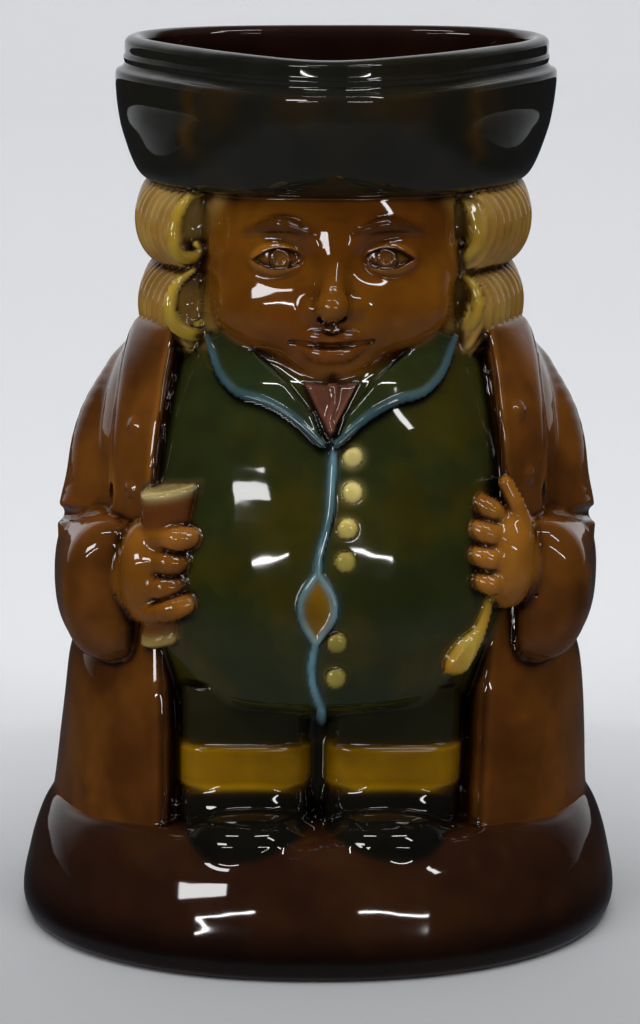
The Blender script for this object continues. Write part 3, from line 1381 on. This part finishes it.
def part_of(tree, place, axis):
    """One coordinate of a place."""
    return node(tree, "ShaderNodeSeparateXYZ", {0: place}).outputs[axis]


def noise(tree, place, scale, detail, roughness=0.5):
    """Cloudy noise between 0 and 1, scale times as fine as a metre."""
    inputs = {"Scale": scale, "Detail": detail, "Roughness": roughness, "Vector": place}
    return node(tree, "ShaderNodeTexNoise", inputs).outputs["Fac"]


def ramp(tree, value, low, high, to_low=0.0, to_high=1.0):
    """Maps low..high of a value to two others, smoothly, and holds it outside them."""
    inputs = {"From Min": low, "From Max": high, "To Min": to_low, "To Max": to_high, "Value": value}
    made = node(tree, "ShaderNodeMapRange", inputs, interpolation_type="SMOOTHSTEP")
    return made.outputs["Result"]


def mixed(tree, factor, first, second):
    """A mix of two colours by a factor."""
    inputs = {0: factor, 6: first, 7: second}
    return node(tree, "ShaderNodeMix", inputs, data_type="RGBA", clamp_factor=True).outputs[2]


def scaled(tree, colour, by):
    """A colour times a number."""
    inputs = {0: colour, "Scale": by}
    return node(tree, "ShaderNodeVectorMath", inputs, operation="SCALE").outputs[0]


def tinted(tree, colour, by):
    """A colour times another."""
    return node(tree, "ShaderNodeVectorMath", {0: colour, 1: by}, operation="MULTIPLY").outputs[0]


def new_material(name):
    """A material, its tree and its shader."""
    material = bpy.data.materials.new(name)
    material.use_nodes = True
    return material, material.node_tree, material.node_tree.nodes["Principled BSDF"]


# %% Glaze material
POOLED_TINT = (0.13, 0.10, 0.12)
THIN_TINT = (1.7, 1.9, 2.0)


def glaze_material():
    """Two shades drifting into each other, clouded, deeper where pooled and paler where thin."""
    material, tree, shader = new_material("majolica_glaze")
    place = where(tree)

    def kept(name, output):
        return node(tree, "ShaderNodeAttribute", {}, attribute_name=name).outputs[output]

    drift = ramp(tree, noise(tree, place, 55, 3, 0.55), 0.42, 0.66)
    colour = mixed(tree, drift, kept("paint", "Color"), kept("second_paint", "Color"))
    shade = scaled(tree, colour, ramp(tree, noise(tree, place, 160, 2), 0.3, 0.75, 0.86, 1.16))
    settled = mixed(tree, kept("pooled", "Fac"), shade, tinted(tree, shade, POOLED_TINT))
    final = mixed(tree, kept("thinned", "Fac"), settled, tinted(tree, settled, THIN_TINT))
    wave = {"Strength": 0.35, "Distance": 0.0006, "Height": noise(tree, place, 90, 2, 0.4)}
    bump = node(tree, "ShaderNodeBump", wave).outputs["Normal"]
    fill(tree, shader, {"Base Color": final, "Roughness": 0.05, "IOR": 1.55, "Normal": bump})
    return material


glaze = glaze_material()
for piece in (*bands.values(), handle):
    piece.data.materials.append(glaze)
    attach(piece, "root")
    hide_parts("toby_jug")

# %% [markdown]
# ## Floor and light
# The jug stands on a pale sweep that rises behind it into a plain backdrop, so there is no
# horizon. A glossy pot mirrors everything round it, so the studio is arranged as for silver. The
# broad light overhead, the two washes on the paper and the floor glow without showing in the glaze,
# and the backdrop shows only at the sides. A window, a card, two low strips and two tubes overhead
# give the crisp highlights that make glaze look wet. The room itself is dim, and a little paler
# below, as a table would be.

# %% Floor and backdrop
def sheet_of_paper(name, profile, half_width=4.0):
    """A sheet whose side-on profile of [y, z] points is carried sideways."""
    y, z = np.array(profile, float).T
    x = np.array([-half_width, half_width])
    points = np.stack(np.broadcast_arrays(x[None, :], y[:, None], z[:, None]), -1).reshape(-1, 3)
    row = np.arange(len(y) - 1) * 2
    faces = np.stack([row, row + 1, row + 3, row + 2], -1)
    mesh = bpy.data.meshes.new(name)
    mesh.from_pydata(points.tolist(), [], faces.tolist())
    mesh.shade_smooth()
    return put(name, mesh)


def backdrop_paper():
    """Pale paper whose near part is greyer, as if it were worn."""
    material, tree, shader = new_material("backdrop_paper")
    grain = noise(tree, where(tree), 900, 2)
    tone = mixed(tree, grain, (0.70, 0.71, 0.735, 1), (0.72, 0.73, 0.75, 1))
    nearness = ramp(tree, part_of(tree, where(tree), "Y"), -0.12, 0.22, 0.50, 1.0)
    fill(tree, shader, {"Base Color": scaled(tree, tone, nearness), "Roughness": 0.9})
    return material


FLOOR_BACK = 1.35
BEND_RADIUS = 0.5
bend_turn = np.linspace(0, np.pi / 2, 24)
rise = BEND_RADIUS * np.column_stack([np.sin(bend_turn), 1 - np.cos(bend_turn)]) + [FLOOR_BACK, 0]
floor = sheet_of_paper("floor", [[-2.4, 0], [FLOOR_BACK, 0]])
backdrop = sheet_of_paper("backdrop", [*rise.tolist(), [FLOOR_BACK + BEND_RADIUS, 3.2]])
paper = backdrop_paper()
for sheet in (floor, backdrop):
    sheet.data.materials.append(paper)
    sheet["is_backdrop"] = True
floor.visible_glossy = False

# %% Lights
def area_light(name, size, power):
    """A rectangular light."""
    data = bpy.data.lights.new(name, "AREA")
    data.shape = "RECTANGLE"
    data.size, data.size_y = size
    data.energy = power
    return put(name, data)


def soft_light(name, place, size, power, aim=(0, 0, 0.08), roll=0.0):
    """A light turned to face the jug, then rolled by some degrees."""
    lamp = area_light(name, size, power)
    lamp.location = place
    direction = lamp.location - Vector(aim)
    turned = direction.to_track_quat("Z", "Y") @ Quaternion((0, 0, 1), np.radians(roll))
    lamp.rotation_euler = turned.to_euler()
    return lamp


def strip_light(name, start, end, width, shine):
    """A strip between two places, of a given brightness rather than power."""
    start, end = Vector(start), Vector(end)
    middle, run = (start + end) / 2, end - start
    facing = (middle - Vector((0, -0.03, 0.06))).normalized()
    across = facing.cross(run).normalized()
    lamp = area_light(name, (run.length, width), shine * np.pi * run.length * width)
    turned = Matrix((run.normalized(), across, run.normalized().cross(across))).transposed()
    lamp.matrix_world = Matrix.Translation(middle) @ turned.to_4x4()


def unseen(lamp):
    """Keeps a light's glow but takes its shape out of reflections."""
    lamp.visible_glossy = False


unseen(soft_light("overhead", (0.0, -0.20, 1.2), (1.3, 1.0), 11.6))
unseen(soft_light("floor_wash", (0.0, 0.85, 1.5), (3.0, 1.2), 7, (0, 0.86, 0)))
unseen(soft_light("backdrop_wash", (0.0, 1.0, 1.5), (4.0, 0.4), 20, (0, 1.85, 0.6)))
soft_light("window", (-0.477, -0.593, 0.283), (0.26, 0.12), 1.4, (-0.012, -0.038, 0.083), 14)
strip_light("card", (0.34, -0.44, 0.70), (0.50, -0.52, 0.486), 0.05, 16)
strip_light("strip_left", (-0.64, -0.82, 0.118), (-0.33, -0.99, 0.20), 0.016, 36)
strip_light("strip_right", (0.20, -1.00, 0.21), (0.57, -0.86, 0.115), 0.016, 36)
strip_light("tube_left", (-0.42, -0.40, 0.95), (-0.12, -0.46, 0.98), 0.030, 34)
strip_light("tube_right", (0.12, -0.46, 0.98), (0.42, -0.40, 0.95), 0.030, 34)


def studio_world():
    """A dim room above, and a paler table below the horizon for the glaze to mirror."""
    world = bpy.data.worlds.new("studio")
    world.use_nodes = True
    tree = world.node_tree
    glow = ramp(tree, part_of(tree, where(tree, "Generated"), "Z"), -0.48, -0.16, 0.12, 0.02)
    fill(tree, tree.nodes["Background"], {"Color": (0.86, 0.89, 1.0, 1), "Strength": glow})
    return world


bpy.context.scene.world = studio_world()
bpy.context.scene.view_settings.view_transform = "Standard"

# %% Finish
low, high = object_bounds()
print("scene box, mm:", [round(1000 * v, 1) for v in (*low, *high)])
